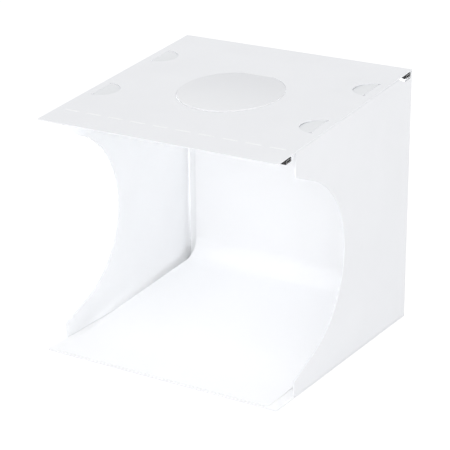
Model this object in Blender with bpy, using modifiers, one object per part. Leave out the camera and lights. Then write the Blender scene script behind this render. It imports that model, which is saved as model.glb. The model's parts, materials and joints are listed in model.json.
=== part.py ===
"""Fold-flat photo light tent, set up: a box of creased plastic sheet with two light bars under its roof.

Metres, +Z up. The open front faces -Y and the origin is at the bottom centre. Left and right are as seen
from the front. Each crease is a narrow gap between two sheets, and the empty that carries the sheet past
the crease stands on the crease's axis.
"""
import math

import bmesh
import bpy
from mathutils import Matrix

MM = 0.001

# The box. The roof slopes down to the front, so it is lower there than at the rear.
WIDTH = 240 * MM
DEPTH = 237 * MM
REAR_HEIGHT = 240 * MM
FRONT_HEIGHT = 218 * MM
SHEET = 1.2 * MM
CREASE = 0.3 * MM
CLEARANCE = 0.3 * MM
CORNER_RADIUS = 2 * MM

# The side walls, with a round bite out of the front edge that runs out along two straight leads.
SIDE_SETBACK = 29 * MM
BITE_RADIUS = 84.5 * MM
BITE_CENTRE_SETBACK = 30.5 * MM
BITE_CENTRE_HEIGHT = 107 * MM
BITE_LEAD = math.radians(21)
BITE_CORNER = 2.5 * MM
BITE_STEPS = 40

# The folded-in top edges of the side walls, under the roof.
FLANGE_WIDTH = 34 * MM
FLANGE_FRONT_SETBACK = 34 * MM
FLANGE_REAR_SETBACK = 30 * MM
FLANGE_CORNER_CUT = 9 * MM
FLANGE_DROOP = math.radians(4)
LOCK_WINDOW_MARGIN = 1.2 * MM

# The roof: its dashed front crease and round window, from the front edge along the slope, and its half-moon
# lock tabs, whose centres are set in from the ends of the flanges that they push down through.
FLAP_DEPTH = 28.3 * MM
WINDOW_RADIUS = 48.5 * MM
WINDOW_CENTRE = 123.5 * MM
WINDOW_HINGE_REACH = 46 * MM
WINDOW_GAP = 0.4 * MM
WINDOW_LIFT = math.radians(0.6)
WINDOW_STEPS = 72
TAB_HALF_LENGTH = 14.5 * MM
TAB_REACH = 16.6 * MM
TAB_GAP = 0.4 * MM
TAB_INSET = 9 * MM
TAB_FRONT_INSET = 49.5 * MM
TAB_REAR_INSET = 30.5 * MM
TAB_DIP = math.radians(5)
TAB_STEPS = 20

# The backdrop sheet, hung from two hook-and-loop strips and swept forward over the floor.
BACKDROP_SIDE_GAP = 10 * MM
BACKDROP_SHEET = 0.6 * MM
BACKDROP_TOP_DROP = 28 * MM
BACKDROP_FRONT_SETBACK = 2 * MM
BACKDROP_SLOPE = math.radians(4)
BACKDROP_BEND = 20 * MM
BACKDROP_STEPS = 10
STRIP_LENGTH = 60 * MM
STRIP_HEIGHT = 14 * MM
STRIP_THICKNESS = 0.8 * MM
STRIP_INSET = 40 * MM
STRIP_DROP = 9 * MM

# A light bar, measured down from the sheet that carries it.
BAR_WIDTH = 9 * MM
BAR_LEFT_SETBACK = 2.5 * MM
FRONT_BAR_SETBACK = 17 * MM
REAR_BAR_SETBACK = 8.3 * MM
BAR_FIT = 0.2 * MM
TAPE_THICKNESS = 0.3 * MM
TAPE_WIDTH = 6 * MM
CHANNEL_HEIGHT = 2.7 * MM
CHANNEL_WALL = 0.8 * MM
CHANNEL_EDGE = 0.4 * MM
BOARD_THICKNESS = 0.8 * MM
BOARD_END_GAP = 5 * MM
CHIP_LENGTH = 3.5 * MM
CHIP_WIDTH = 2.8 * MM
CHIP_HEIGHT = 0.5 * MM
CHIP_SINK = 0.1 * MM
CHIP_COUNT = 24
DIFFUSER_THICKNESS = 0.8 * MM
DIFFUSER_EDGE = 0.5 * MM
DIFFUSER_LIP = 0.6 * MM
DIFFUSER_LIP_HEIGHT = 0.5 * MM
LEFT_CAP_LENGTH = 4 * MM
RIGHT_CAP_LENGTH = 9 * MM
CAP_EDGE = 0.35 * MM
PLUG_LENGTH = 3 * MM
JOIN_SINK = 0.5 * MM

# The power inlet in the right end cap of each bar.
SHELL_WIDTH = 7.4 * MM
SHELL_HEIGHT = 2.6 * MM
SHELL_WALL = 0.3 * MM
SHELL_CORNER = 0.5 * MM
SHELL_LENGTH = 5.5 * MM
POCKET_END_GAP = 0.3 * MM
TONGUE_WIDTH = 4 * MM
TONGUE_THICKNESS = 0.6 * MM
TONGUE_SETBACK = 1 * MM

# The notch in the right side wall for the end of the rear bar. Its front edge slants away from the bar,
# so that the front of the black end shows past the wall.
NOTCH_REAR_MARGIN = 0.9 * MM
NOTCH_FRONT_MARGIN = 12 * MM
NOTCH_FOOT_MARGIN = 1.2 * MM
NOTCH_DEPTH_MARGIN = 1.6 * MM

FILLET_STEPS = 5
OVERRUN = 1 * MM
AXIS_MARK = 20 * MM

# What follows from the sizes above.
SLOPE = math.atan2(REAR_HEIGHT - FRONT_HEIGHT, DEPTH)
ROOF_LENGTH = DEPTH / math.cos(SLOPE)
FRONT = -DEPTH / 2
REAR = DEPTH / 2
FLANGE_ENDS = {"front": FLANGE_FRONT_SETBACK, "rear": ROOF_LENGTH - FLANGE_REAR_SETBACK}
TAB_CENTRES = {
    "front": FLANGE_ENDS["front"] + TAB_FRONT_INSET,
    "rear": FLANGE_ENDS["rear"] - TAB_REAR_INSET,
}
BAR_CENTRES = {"front": FRONT_BAR_SETBACK, "rear": ROOF_LENGTH - REAR_BAR_SETBACK}
BACKDROP_WIDTH = WIDTH - 2 * BACKDROP_SIDE_GAP
BACKDROP_TOP = REAR_HEIGHT - BACKDROP_TOP_DROP
CHANNEL_TOP = -SHEET - 2 * BAR_FIT - TAPE_THICKNESS
DIFFUSER_TOP = CHANNEL_TOP - CHANNEL_HEIGHT - BAR_FIT
BAR_BOTTOM = DIFFUSER_TOP - DIFFUSER_THICKNESS
BAR_LEFT = -WIDTH / 2 + BAR_LEFT_SETBACK
BAR_RIGHT = WIDTH / 2
CHANNEL_LEFT = BAR_LEFT + LEFT_CAP_LENGTH + BAR_FIT
CHANNEL_RIGHT = BAR_RIGHT - RIGHT_CAP_LENGTH - BAR_FIT
SIDES = {"left": -1, "right": 1}

# Placements: the roof's frame lies on the roof's top face with its origin on the rear crease, and a
# profile's frame stands upright, so that an outline drawn in it is (depth, height) and is extruded in X.
ROOF = Matrix.Translation((0, REAR, REAR_HEIGHT)) @ Matrix.Rotation(SLOPE, 4, "X")
PROFILE = Matrix.Rotation(math.pi / 2, 4, "Z") @ Matrix.Rotation(math.pi / 2, 4, "X")
UPRIGHT = Matrix.Rotation(math.pi / 2, 4, "X")


def clear_scene():
    """Remove the start-up objects."""
    for obj in list(bpy.data.objects):
        bpy.data.objects.remove(obj, do_unlink=True)


def collection(name):
    made = bpy.data.collections.new(name)
    bpy.context.scene.collection.children.link(made)
    return made


def finish(name, color, roughness, metallic=0.0):
    """A plain material for one sub-part."""
    made = bpy.data.materials.new(name)
    made.use_nodes = True
    shader = made.node_tree.nodes["Principled BSDF"]
    shader.inputs["Base Color"].default_value = (*color, 1)
    shader.inputs["Roughness"].default_value = roughness
    shader.inputs["Metallic"].default_value = metallic
    return made


def white_sheet(name):
    return finish(name, (0.83, 0.84, 0.87), 0.45)


def place(obj, matrix, parent=None):
    """Put an object at a place given in the world, also when it hangs on a parent."""
    obj.matrix_basis = matrix
    if parent:
        obj.parent = parent
        obj.matrix_parent_inverse = parent.matrix_basis.inverted()
    return obj


def axis(name, matrix, parent=None):
    """An empty that stands on a crease."""
    empty = bpy.data.objects.new(name, None)
    empty.empty_display_size = AXIS_MARK
    PARTS.objects.link(empty)
    return place(empty, matrix, parent)


def arc(centre, radius, start, end, steps):
    """Points along an arc, both ends included."""
    turns = [start + (end - start) * i / steps for i in range(steps + 1)]
    return [(centre[0] + radius * math.cos(a), centre[1] + radius * math.sin(a)) for a in turns]


def filleted(corners):
    """An outline from (x, y) or (x, y, radius) corners, those with a radius rounded off."""
    points = []
    for i, corner in enumerate(corners):
        if len(corner) == 2:
            points.append(corner)
            continue
        x, y, radius = corner
        before, after = corners[i - 1], corners[(i + 1) % len(corners)]
        back = math.atan2(before[1] - y, before[0] - x)
        ahead = math.atan2(after[1] - y, after[0] - x)
        turn = (ahead - back + math.pi) % (2 * math.pi) - math.pi
        reach = radius / math.sin(abs(turn) / 2)
        middle = back + turn / 2
        centre = (x + reach * math.cos(middle), y + reach * math.sin(middle))
        sweep = math.copysign(math.pi - abs(turn), -turn)
        first = middle + math.pi - sweep / 2
        points += arc(centre, radius, first, first + sweep, FILLET_STEPS)
    return points


def rectangle(x0, x1, y0, y1, radius=0.0):
    corners = [(x0, y0), (x1, y0), (x1, y1), (x0, y1)]
    return filleted([(*c, radius) for c in corners]) if radius else corners


def outline_piece(name, loops, thickness, matrix, material, parent=None):
    """A flat outline with holes, extruded both ways from its plane to a thickness."""
    curve = bpy.data.curves.new(name, "CURVE")
    curve.dimensions = "2D"
    curve.fill_mode = "BOTH"
    curve.extrude = thickness / 2
    for loop in loops:
        spline = curve.splines.new("POLY")
        spline.points.add(len(loop) - 1)
        for point, (x, y) in zip(spline.points, loop):
            point.co = (x, y, 0, 1)
        spline.use_cyclic_u = True
    curve.materials.append(material)
    obj = bpy.data.objects.new(name, curve)
    PARTS.objects.link(obj)
    return place(obj, matrix, parent)


def box(name, low, high, matrix, home, bevel=0.0):
    """A box between two corners in a frame, its edges rounded if a bevel is given."""
    mesh = bpy.data.meshes.new(name)
    shape = bmesh.new()
    bmesh.ops.create_cube(shape, size=1)
    size = [end - start for start, end in zip(low, high)]
    middle = [(end + start) / 2 for start, end in zip(low, high)]
    bmesh.ops.scale(shape, vec=size, verts=shape.verts)
    bmesh.ops.translate(shape, vec=middle, verts=shape.verts)
    shape.to_mesh(mesh)
    shape.free()
    obj = bpy.data.objects.new(name, mesh)
    home.objects.link(obj)
    if bevel:
        edge = obj.modifiers.new("edges", "BEVEL")
        edge.width = bevel
        edge.segments = 2
    return place(obj, matrix)


def boolean(obj, tool, operation):
    """Cut or join a helper solid, which is kept out of the finished part."""
    tool.hide_render = True
    tool.display_type = "WIRE"
    modifier = obj.modifiers.new(tool.name, "BOOLEAN")
    modifier.operation = operation
    modifier.solver = "EXACT"
    modifier.object = tool


def hang(obj, material, parent):
    """Give a finished box its material and hang it on its carrier."""
    obj.data.materials.append(material)
    return place(obj, obj.matrix_basis.copy(), parent)


def roof_underside(y, gap):
    """The height of a plane that lies a gap below the roof's sheet, at a depth y."""
    return REAR_HEIGHT - (REAR - y) * math.tan(SLOPE) - (SHEET + gap) / math.cos(SLOPE)


def side_outline(side):
    """A side wall in (depth, height): the bite in front, and on the right the notch for the rear bar."""
    front, rear = FRONT + SIDE_SETBACK, REAR - SHEET - CREASE
    bottom = SHEET + CLEARANCE
    centre = (FRONT + BITE_CENTRE_SETBACK, BITE_CENTRE_HEIGHT)
    reach = math.pi / 2 - BITE_LEAD
    bite = arc(centre, BITE_RADIUS, -reach, reach, BITE_STEPS)
    rise = (bite[-1][0] - front) * math.tan(BITE_LEAD)
    corners = [(front, bottom), (front, bite[0][1] - rise, BITE_CORNER), *bite]
    corners += [(front, bite[-1][1] + rise, BITE_CORNER), (front, roof_underside(front, CLEARANCE))]
    if side == SIDES["right"]:
        middle = REAR - REAR_BAR_SETBACK * math.cos(SLOPE)
        ahead = middle - BAR_WIDTH / 2 - NOTCH_FRONT_MARGIN
        foot = middle - BAR_WIDTH / 2 - NOTCH_FOOT_MARGIN
        behind = middle + BAR_WIDTH / 2 + NOTCH_REAR_MARGIN
        drop = -BAR_BOTTOM - SHEET + NOTCH_DEPTH_MARGIN
        for y, gap in ((ahead, CLEARANCE), (foot, drop), (behind, drop), (behind, CLEARANCE)):
            corners.append((y, roof_underside(y, gap)))
    corners += [(rear, roof_underside(rear, CLEARANCE)), (rear, bottom)]
    return filleted(corners)


def half_moon(side, hinge_x, centre_y, margin, setback):
    """A lock tab's half oval, grown by a margin, its straight side a setback inboard of the hinge line."""
    toward = math.pi if side == SIDES["right"] else 0
    unit = arc((0, 0), 1, toward - math.pi / 2, toward + math.pi / 2, TAB_STEPS)
    reach, half, straight = TAB_REACH + margin, TAB_HALF_LENGTH + margin, hinge_x - side * setback
    return [(straight + reach * x, centre_y + half * y) for x, y in unit]


def along_roof(from_front):
    """The roof frame's depth at a distance from the front edge."""
    return from_front - ROOF_LENGTH


def window_outline(gap):
    """The round window, with the flat of its hinge at the rear, a gap inside its edge."""
    radius = WINDOW_RADIUS - gap
    flat = WINDOW_HINGE_REACH - (CREASE if gap else 0)
    half = math.acos(flat / radius)
    return arc((0, 0), radius, math.pi / 2 + half, 5 * math.pi / 2 - half, WINDOW_STEPS)


def base_and_back():
    """The floor sheet and the rear wall, creased together at the bottom rear edge."""
    rear = REAR - SHEET - CREASE
    corners = [(-WIDTH / 2, FRONT, CORNER_RADIUS), (WIDTH / 2, FRONT, CORNER_RADIUS)]
    corners += [(WIDTH / 2, rear), (-WIDTH / 2, rear)]
    floor = Matrix.Translation((0, 0, SHEET / 2))
    outline_piece("base_panel", [filleted(corners)], SHEET, floor, white_sheet("base_sheet"))
    crease = axis("back_axis", Matrix.Translation((0, REAR, 0)))
    top = roof_underside(REAR - SHEET, CLEARANCE)
    wall = Matrix.Translation((0, REAR - SHEET / 2, 0)) @ UPRIGHT
    outline = rectangle(-WIDTH / 2, WIDTH / 2, CREASE, top)
    outline_piece("back_panel", [outline], SHEET, wall, white_sheet("back_sheet"), crease)
    return crease


def side_wall(name, side, back):
    """A side wall on its rear crease, with its top flange on the crease under the roof."""
    crease = axis(f"{name}_side_axis", Matrix.Translation((side * WIDTH / 2, REAR, 0)), back)
    wall = Matrix.Translation((side * (WIDTH - SHEET) / 2, 0, 0)) @ PROFILE
    sheet = white_sheet(f"{name}_side_sheet")
    outline_piece(f"{name}_side_panel", [side_outline(side)], SHEET, wall, sheet, crease)

    hinge_x = side * (WIDTH / 2 - SHEET)
    under = ROOF @ Matrix.Translation((hinge_x, 0, -2 * SHEET - CLEARANCE))
    under = under @ Matrix.Rotation(-side * FLANGE_DROOP, 4, "Y")
    fold = axis(f"{name}_flange_axis", under, crease)
    outer, inner = -side * CREASE, -side * FLANGE_WIDTH
    front, rear = along_roof(FLANGE_ENDS["front"]), along_roof(FLANGE_ENDS["rear"])
    cut = FLANGE_CORNER_CUT
    edge = [(outer, front), (inner + side * cut, front), (inner, front + cut)]
    edge += [(inner, rear - cut), (inner + side * cut, rear), (outer, rear)]
    window_x = side * (WIDTH / 2 - TAB_INSET + LOCK_WINDOW_MARGIN) - hinge_x
    centres = [along_roof(y) for y in TAB_CENTRES.values()]
    windows = [half_moon(side, window_x, y, 2 * LOCK_WINDOW_MARGIN, 0) for y in centres]
    plane = under @ Matrix.Translation((0, 0, SHEET / 2))
    sheet = white_sheet(f"{name}_flange_sheet")
    outline_piece(f"{name}_top_flange", [edge, *windows], SHEET, plane, sheet, fold)


def roof(back):
    """The roof panel with its window and lock-tab cuts, and the pieces that move in it."""
    crease = axis("roof_axis", ROOF, back)
    plane = ROOF @ Matrix.Translation((0, 0, -SHEET / 2))
    window = (0, along_roof(WINDOW_CENTRE))
    loops = [rectangle(-WIDTH / 2, WIDTH / 2, along_roof(FLAP_DEPTH) + CREASE / 2, -CREASE)]
    loops.append([(x, y + window[1]) for x, y in window_outline(0)])
    for side in SIDES.values():
        hinge_x = side * (WIDTH / 2 - TAB_INSET)
        for y in TAB_CENTRES.values():
            loops.append(half_moon(side, hinge_x, along_roof(y), 2 * TAB_GAP, 0))
    outline_piece("roof_panel", loops, SHEET, plane, white_sheet("roof_sheet"), crease)
    window_cover(window, crease)
    for name, side in SIDES.items():
        for end, y in TAB_CENTRES.items():
            lock_tab(f"{name}_{end}_lock_tab", side, along_roof(y), crease)
    light_bar("rear", crease)
    front_flap(crease)


def window_cover(window, crease):
    """The round lid of the window, on a short crease at its rear, its front edge a little proud."""
    hinge = ROOF @ Matrix.Translation((0, window[1] + WINDOW_HINGE_REACH, 0))
    hinge = hinge @ Matrix.Rotation(-WINDOW_LIFT, 4, "X")
    fold = axis("window_axis", hinge, crease)
    plane = hinge @ Matrix.Translation((0, -WINDOW_HINGE_REACH, -SHEET / 2))
    material = finish("window_cover_sheet", (0.77, 0.78, 0.80), 0.45)
    outline_piece("window_cover", [window_outline(WINDOW_GAP)], SHEET, plane, material, fold)


def lock_tab(name, side, y, crease):
    """A half-moon tongue that pushes down through the flange's window."""
    hinge = ROOF @ Matrix.Translation((side * (WIDTH / 2 - TAB_INSET), y, -SHEET / 2))
    hinge = hinge @ Matrix.Rotation(-side * TAB_DIP, 4, "Y")
    fold = axis(f"{name}_axis", hinge, crease)
    outline = half_moon(side, 0, 0, 0, TAB_GAP)
    outline_piece(name, [outline], SHEET, hinge, white_sheet(f"{name}_sheet"), fold)


def front_flap(crease):
    """The roof's front strip, which tilts down on the dashed crease with the front light bar."""
    line = along_roof(FLAP_DEPTH)
    fold = axis("flap_axis", ROOF @ Matrix.Translation((0, line, -SHEET)), crease)
    corners = [(-WIDTH / 2, -ROOF_LENGTH, CORNER_RADIUS), (WIDTH / 2, -ROOF_LENGTH, CORNER_RADIUS)]
    corners += [(WIDTH / 2, line - CREASE / 2), (-WIDTH / 2, line - CREASE / 2)]
    plane = ROOF @ Matrix.Translation((0, 0, -SHEET / 2))
    outline_piece("front_flap", [filleted(corners)], SHEET, plane, white_sheet("flap_sheet"), fold)
    light_bar("front", fold)


def light_bar(end, carrier):
    """One light bar: tape, channel, board with chips, diffuser, end caps and power inlet."""
    name = f"{end}_light"
    frame = ROOF @ Matrix.Translation((0, along_roof(BAR_CENTRES[end]), 0))
    middle = Matrix.Translation(((CHANNEL_LEFT + CHANNEL_RIGHT) / 2, 0, 0)) @ PROFILE
    length = CHANNEL_RIGHT - CHANNEL_LEFT
    half = BAR_WIDTH / 2

    tape_top = -SHEET - BAR_FIT
    low = (CHANNEL_LEFT, -TAPE_WIDTH / 2, tape_top - TAPE_THICKNESS)
    high = (CHANNEL_RIGHT, TAPE_WIDTH / 2, tape_top)
    tape = finish(f"{name}_tape_foam", (0.35, 0.36, 0.38), 0.9)
    hang(box(f"{name}_tape", low, high, frame, PARTS), tape, carrier)

    bottom, inner = CHANNEL_TOP - CHANNEL_HEIGHT, half - CHANNEL_WALL
    ceiling = CHANNEL_TOP - CHANNEL_WALL
    corners = [(-half, CHANNEL_TOP, CHANNEL_EDGE), (half, CHANNEL_TOP, CHANNEL_EDGE), (half, bottom)]
    corners += [(inner, bottom), (inner, ceiling), (-inner, ceiling), (-inner, bottom), (-half, bottom)]
    metal = finish(f"{name}_channel_shell", (0.86, 0.87, 0.89), 0.4)
    outline_piece(f"{name}_channel", [filleted(corners)], length, frame @ middle, metal, carrier)

    light_board(name, frame, inner - BAR_FIT, ceiling - BAR_FIT, carrier)

    lip_out, lip_in = inner - BAR_FIT, inner - BAR_FIT - DIFFUSER_LIP
    lip_top = DIFFUSER_TOP + DIFFUSER_LIP_HEIGHT
    corners = [(-half, DIFFUSER_TOP), (-half, BAR_BOTTOM, DIFFUSER_EDGE), (half, BAR_BOTTOM, DIFFUSER_EDGE)]
    corners += [(half, DIFFUSER_TOP), (lip_out, DIFFUSER_TOP), (lip_out, lip_top), (lip_in, lip_top)]
    corners += [(lip_in, DIFFUSER_TOP), (-lip_in, DIFFUSER_TOP), (-lip_in, lip_top), (-lip_out, lip_top)]
    corners += [(-lip_out, DIFFUSER_TOP)]
    milky = finish(f"{name}_diffuser_lens", (0.92, 0.92, 0.90), 0.3)
    outline_piece(f"{name}_diffuser", [filleted(corners)], length, frame @ middle, milky, carrier)

    plug_half = lip_in - BAR_FIT
    left = end_cap(f"{name}_left_cap", frame, BAR_LEFT, CHANNEL_LEFT - BAR_FIT, 1, plug_half)
    hang(left, finish(f"{name}_left_cap_plastic", (0.83, 0.84, 0.86), 0.4), carrier)
    right = end_cap(f"{name}_right_cap", frame, CHANNEL_RIGHT + BAR_FIT, BAR_RIGHT, -1, plug_half)
    cut_inlet(right, name, frame)
    hang(right, finish(f"{name}_right_cap_plastic", (0.02, 0.02, 0.022), 0.4), carrier)

    height = (CHANNEL_TOP + BAR_BOTTOM) / 2
    place_of_shell = frame @ Matrix.Translation((BAR_RIGHT - SHELL_LENGTH / 2, 0, height)) @ PROFILE
    outside = rectangle(-SHELL_WIDTH / 2, SHELL_WIDTH / 2, -SHELL_HEIGHT / 2, SHELL_HEIGHT / 2, SHELL_CORNER)
    w, h = SHELL_WIDTH / 2 - SHELL_WALL, SHELL_HEIGHT / 2 - SHELL_WALL
    inside = rectangle(-w, w, -h, h, SHELL_CORNER - SHELL_WALL)
    steel = finish(f"{name}_inlet_steel", (0.75, 0.75, 0.76), 0.25, 1.0)
    outline_piece(f"{name}_inlet_shell", [outside, inside], SHELL_LENGTH, place_of_shell, steel, carrier)


def light_board(name, frame, half, top, carrier):
    """The circuit board with its row of light chips on the underside."""
    left, right = CHANNEL_LEFT + BOARD_END_GAP, CHANNEL_RIGHT - BOARD_END_GAP
    bottom = top - BOARD_THICKNESS
    board = box(f"{name}_board", (left, -half, bottom), (right, half, top), frame, PARTS)
    mesh = bpy.data.meshes.new(f"{name}_chips")
    shape = bmesh.new()
    pitch = (right - left) / CHIP_COUNT
    for i in range(CHIP_COUNT):
        made = bmesh.ops.create_cube(shape, size=1)["verts"]
        bmesh.ops.scale(shape, vec=(CHIP_LENGTH, CHIP_WIDTH, CHIP_HEIGHT + CHIP_SINK), verts=made)
        down = bottom - (CHIP_HEIGHT - CHIP_SINK) / 2
        bmesh.ops.translate(shape, vec=(left + pitch * i + pitch / 2, 0, down), verts=made)
    shape.to_mesh(mesh)
    shape.free()
    chips = bpy.data.objects.new(f"{name}_chips", mesh)
    CUTTERS.objects.link(chips)
    place(chips, frame)
    boolean(board, chips, "UNION")
    hang(board, finish(f"{name}_board_white", (0.85, 0.86, 0.84), 0.5), carrier)


def end_cap(name, frame, x0, x1, inward, plug_half):
    """An end cap: a block over the bar's whole section, with a plug that fits inside the channel."""
    half = BAR_WIDTH / 2
    cap = box(name, (x0, -half, BAR_BOTTOM), (x1, half, CHANNEL_TOP), frame, PARTS, CAP_EDGE)
    face = x1 if inward > 0 else x0
    ends = sorted((face - inward * JOIN_SINK, face + inward * (PLUG_LENGTH + BAR_FIT)))
    low = (ends[0], -plug_half, DIFFUSER_TOP + BAR_FIT)
    high = (ends[1], plug_half, CHANNEL_TOP - CHANNEL_WALL - BAR_FIT)
    boolean(cap, box(f"{name}_plug", low, high, frame, CUTTERS), "UNION")
    return cap


def cut_inlet(cap, name, frame):
    """The pocket for the inlet's metal shell, and the contact tongue inside it."""
    height = (CHANNEL_TOP + BAR_BOTTOM) / 2
    w, h = SHELL_WIDTH / 2 + BAR_FIT, SHELL_HEIGHT / 2 + BAR_FIT
    floor = BAR_RIGHT - SHELL_LENGTH - POCKET_END_GAP
    low, high = (floor, -w, height - h), (BAR_RIGHT + OVERRUN, w, height + h)
    boolean(cap, box(f"{name}_pocket", low, high, frame, CUTTERS), "DIFFERENCE")
    t = TONGUE_THICKNESS / 2
    low = (floor - JOIN_SINK, -TONGUE_WIDTH / 2, height - t)
    high = (BAR_RIGHT - TONGUE_SETBACK, TONGUE_WIDTH / 2, height + t)
    boolean(cap, box(f"{name}_tongue", low, high, frame, CUTTERS), "UNION")


def backdrop(back):
    """The backdrop sheet and the hook-and-loop strips that hang it on the rear wall."""
    wall = REAR - SHEET
    hook_y = wall - CLEARANCE - STRIP_THICKNESS / 2
    loop_y = hook_y - CLEARANCE - STRIP_THICKNESS
    middle = BACKDROP_TOP - STRIP_DROP
    w, h = STRIP_LENGTH / 2, STRIP_HEIGHT / 2
    outline = rectangle(-w, w, -h, h, CORNER_RADIUS)
    for name, side in SIDES.items():
        for kind, y in (("hook", hook_y), ("loop", loop_y)):
            spot = Matrix.Translation((side * (BACKDROP_WIDTH / 2 - STRIP_INSET), y, middle)) @ UPRIGHT
            fabric = finish(f"{name}_{kind}_fabric", (0.80, 0.80, 0.80), 0.95)
            outline_piece(f"{name}_{kind}_strip", [outline], STRIP_THICKNESS, spot, fabric, back)

    fall = loop_y - STRIP_THICKNESS / 2 - CLEARANCE - BACKDROP_SHEET / 2
    start = (FRONT + BACKDROP_FRONT_SETBACK, SHEET + CLEARANCE + BACKDROP_SHEET / 2)
    foot = start[1] + (fall - start[0]) * math.tan(BACKDROP_SLOPE)
    tangent = BACKDROP_BEND * math.tan((math.pi / 2 - BACKDROP_SLOPE) / 2)
    centre = (fall - BACKDROP_BEND, foot + tangent)
    bend = BACKDROP_SLOPE - math.pi / 2
    half = BACKDROP_SHEET / 2
    faces = []
    for offset in (half, -half):
        across = (-offset * math.sin(BACKDROP_SLOPE), offset * math.cos(BACKDROP_SLOPE))
        face = [(start[0] + across[0], start[1] + across[1])]
        face += arc(centre, BACKDROP_BEND - offset, bend, 0, BACKDROP_STEPS)
        face.append((fall - offset, BACKDROP_TOP))
        faces.append(face)
    outline = faces[0] + faces[1][::-1]
    sheet = finish("backdrop_white", (0.93, 0.94, 0.96), 0.6)
    outline_piece("backdrop_sheet", [outline], BACKDROP_WIDTH, PROFILE, sheet)


clear_scene()
PARTS = collection("light_tent_cube")
CUTTERS = collection("cutters")
back_axis = base_and_back()
for wall_name, wall_side in SIDES.items():
    side_wall(wall_name, wall_side, back_axis)
roof(back_axis)
backdrop(back_axis)
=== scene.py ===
# %% [markdown]
# # A fold-flat photo light tent, dressed for the camera
#
# The part is a small photo studio made of white plastic sheet. The imported solids already say where every
# sheet, crease and light bar is, so this script never moves them. It gives each one the finish and the
# small shapes that the solids leave out: rounded cut edges, creases, light chips behind their
# diffusers, hooks and loops, and a backdrop sheet that falls in one soft curve.
#
# The frame has to be loaded first. Its box is kept at once, before anything is added, because the dressed
# part may not grow past it.

# %% Load the frame and keep its box
import json
import math

import bmesh
import bpy
from mathutils import Matrix, Vector


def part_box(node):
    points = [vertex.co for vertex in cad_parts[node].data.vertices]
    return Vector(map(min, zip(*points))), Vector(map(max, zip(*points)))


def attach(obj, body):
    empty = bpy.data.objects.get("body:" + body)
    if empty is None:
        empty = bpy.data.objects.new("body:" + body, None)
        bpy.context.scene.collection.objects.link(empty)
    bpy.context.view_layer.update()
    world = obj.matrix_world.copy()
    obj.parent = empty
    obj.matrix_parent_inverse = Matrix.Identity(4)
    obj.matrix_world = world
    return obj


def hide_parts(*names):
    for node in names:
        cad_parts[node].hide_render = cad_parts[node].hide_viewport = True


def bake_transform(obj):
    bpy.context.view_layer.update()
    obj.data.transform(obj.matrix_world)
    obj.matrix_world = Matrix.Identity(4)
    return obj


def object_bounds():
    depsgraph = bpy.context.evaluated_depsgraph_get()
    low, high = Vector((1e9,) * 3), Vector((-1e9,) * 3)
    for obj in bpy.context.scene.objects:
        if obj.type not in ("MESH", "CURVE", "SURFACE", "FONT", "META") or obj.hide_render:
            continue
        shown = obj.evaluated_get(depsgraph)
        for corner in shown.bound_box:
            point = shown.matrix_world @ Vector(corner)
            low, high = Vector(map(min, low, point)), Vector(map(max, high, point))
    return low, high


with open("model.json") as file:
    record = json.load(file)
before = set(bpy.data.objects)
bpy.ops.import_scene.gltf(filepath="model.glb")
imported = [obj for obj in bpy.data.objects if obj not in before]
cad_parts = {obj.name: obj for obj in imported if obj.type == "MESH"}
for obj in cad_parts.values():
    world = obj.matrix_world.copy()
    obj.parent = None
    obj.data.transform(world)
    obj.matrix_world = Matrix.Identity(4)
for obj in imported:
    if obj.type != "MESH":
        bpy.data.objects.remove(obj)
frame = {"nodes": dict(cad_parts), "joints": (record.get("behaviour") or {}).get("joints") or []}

CAD_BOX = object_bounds()

# %% [markdown]
# ## Sizes read from the frame
#
# Typing a size twice invites mistakes, so the outer sizes, the sheet's thickness and the places of the
# creases are read from the frame. The roof slopes down to the front. A matrix holds its plane, with the
# origin on the rear crease, y up the slope and z square to the sheet, so that everything on the roof has
# simple numbers.

# %% Outer sizes, the sheet and the roof's plane
MM = 0.001
JOINTS = {joint["name"]: joint for joint in frame["joints"]}
LEFT, FRONT, RIGHT, REAR = CAD_BOX[0].x, CAD_BOX[0].y, CAD_BOX[1].x, CAD_BOX[1].y
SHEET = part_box("base_panel")[1].z
ROOF_CREASE = Vector(JOINTS["roof_fold"]["pos_m"])
SLOPE_AXIS = Vector(JOINTS["left_flange_fold"]["axis"])
SLOPE = math.atan2(abs(SLOPE_AXIS.z), abs(SLOPE_AXIS.y))
ROOF = Matrix.Translation(ROOF_CREASE) @ Matrix.Rotation(SLOPE, 4, "X")
SIDES = {"left": -1, "right": 1}


def on_roof(joint):
    """A joint's place in the roof's frame."""
    return ROOF.inverted() @ Vector(JOINTS[joint]["pos_m"])


print(f"roof: {(REAR - FRONT) / math.cos(SLOPE) / MM:.1f} mm long, sloping {math.degrees(SLOPE):.2f} degrees")

# %% [markdown]
# ## The camera
#
# The camera stands in front of the tent, to the right and above, and a long lens keeps the edges nearly
# parallel. Its place and directions were worked out from the corners of the roof and the walls.

# %% Place the camera
CAMERA_PLACE = Vector((797.1, -1273.6, 666.8)) * MM
CAMERA_RIGHT = Vector((0.84747, 0.53082, -0.00553))
CAMERA_BACK = Vector((0.49892, -0.7929, 0.34984))
LENS = 142.35
FILM = 36
CLIP_END = 20


def added(name, operator, **settings):
    """Add an object with one of the add operators and name it."""
    bpy.ops.object.select_all(action="DESELECT")
    operator(**settings)
    obj = bpy.context.object
    obj.name = obj.data.name = name
    return obj


camera = added("camera", bpy.ops.object.camera_add, location=CAMERA_PLACE)
turn = Matrix((CAMERA_RIGHT, CAMERA_BACK.cross(CAMERA_RIGHT), CAMERA_BACK)).transposed()
camera.rotation_euler = turn.to_euler()
camera.data.lens = LENS
camera.data.sensor_width = FILM
camera.data.clip_end = CLIP_END
bpy.context.scene.camera = camera
print("camera:", LENS, "mm lens on", FILM, "mm film")

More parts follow.
